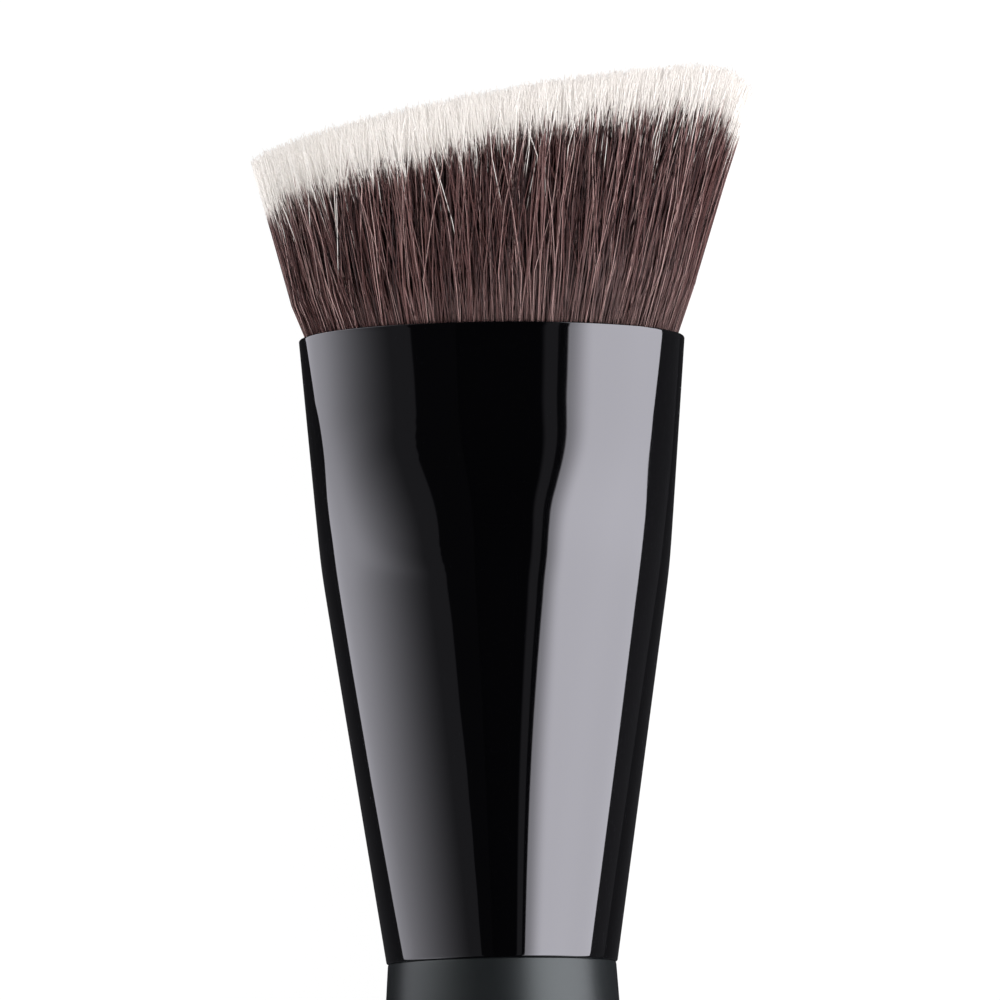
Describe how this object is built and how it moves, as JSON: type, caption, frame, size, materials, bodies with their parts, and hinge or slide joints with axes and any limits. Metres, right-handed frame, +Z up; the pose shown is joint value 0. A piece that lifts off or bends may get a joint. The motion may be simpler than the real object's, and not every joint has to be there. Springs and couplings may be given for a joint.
{
  "type": "face brush",
  "caption": "Cosmetic face brush with a slanted flat-topped tuft of brown fibres with white tips, a gloss black pressed ferrule and a satin black turned handle.",
  "frame": {"origin": "centre of the overall box on the table surface, below the brush as it lies on its back", "axes": "+Y along the brush towards its head, +X across its broad side towards the raised end of the cut, +Z up through its front"},
  "size_m": [0.0314, 0.1594, 0.0151],
  "materials": {
    "satin_lacquer": "satin black lacquer",
    "gloss_lacquer": "gloss black lacquer on thin aluminium",
    "resin": "cured resin",
    "fibre": "fine synthetic fibres, brown with white tips"
  },
  "bodies": {
    "root": {"handle": "satin_lacquer", "ferrule": "gloss_lacquer", "resin_plug": "resin", "bristle_tuft": "fibre"}
  },
  "joints": []
}
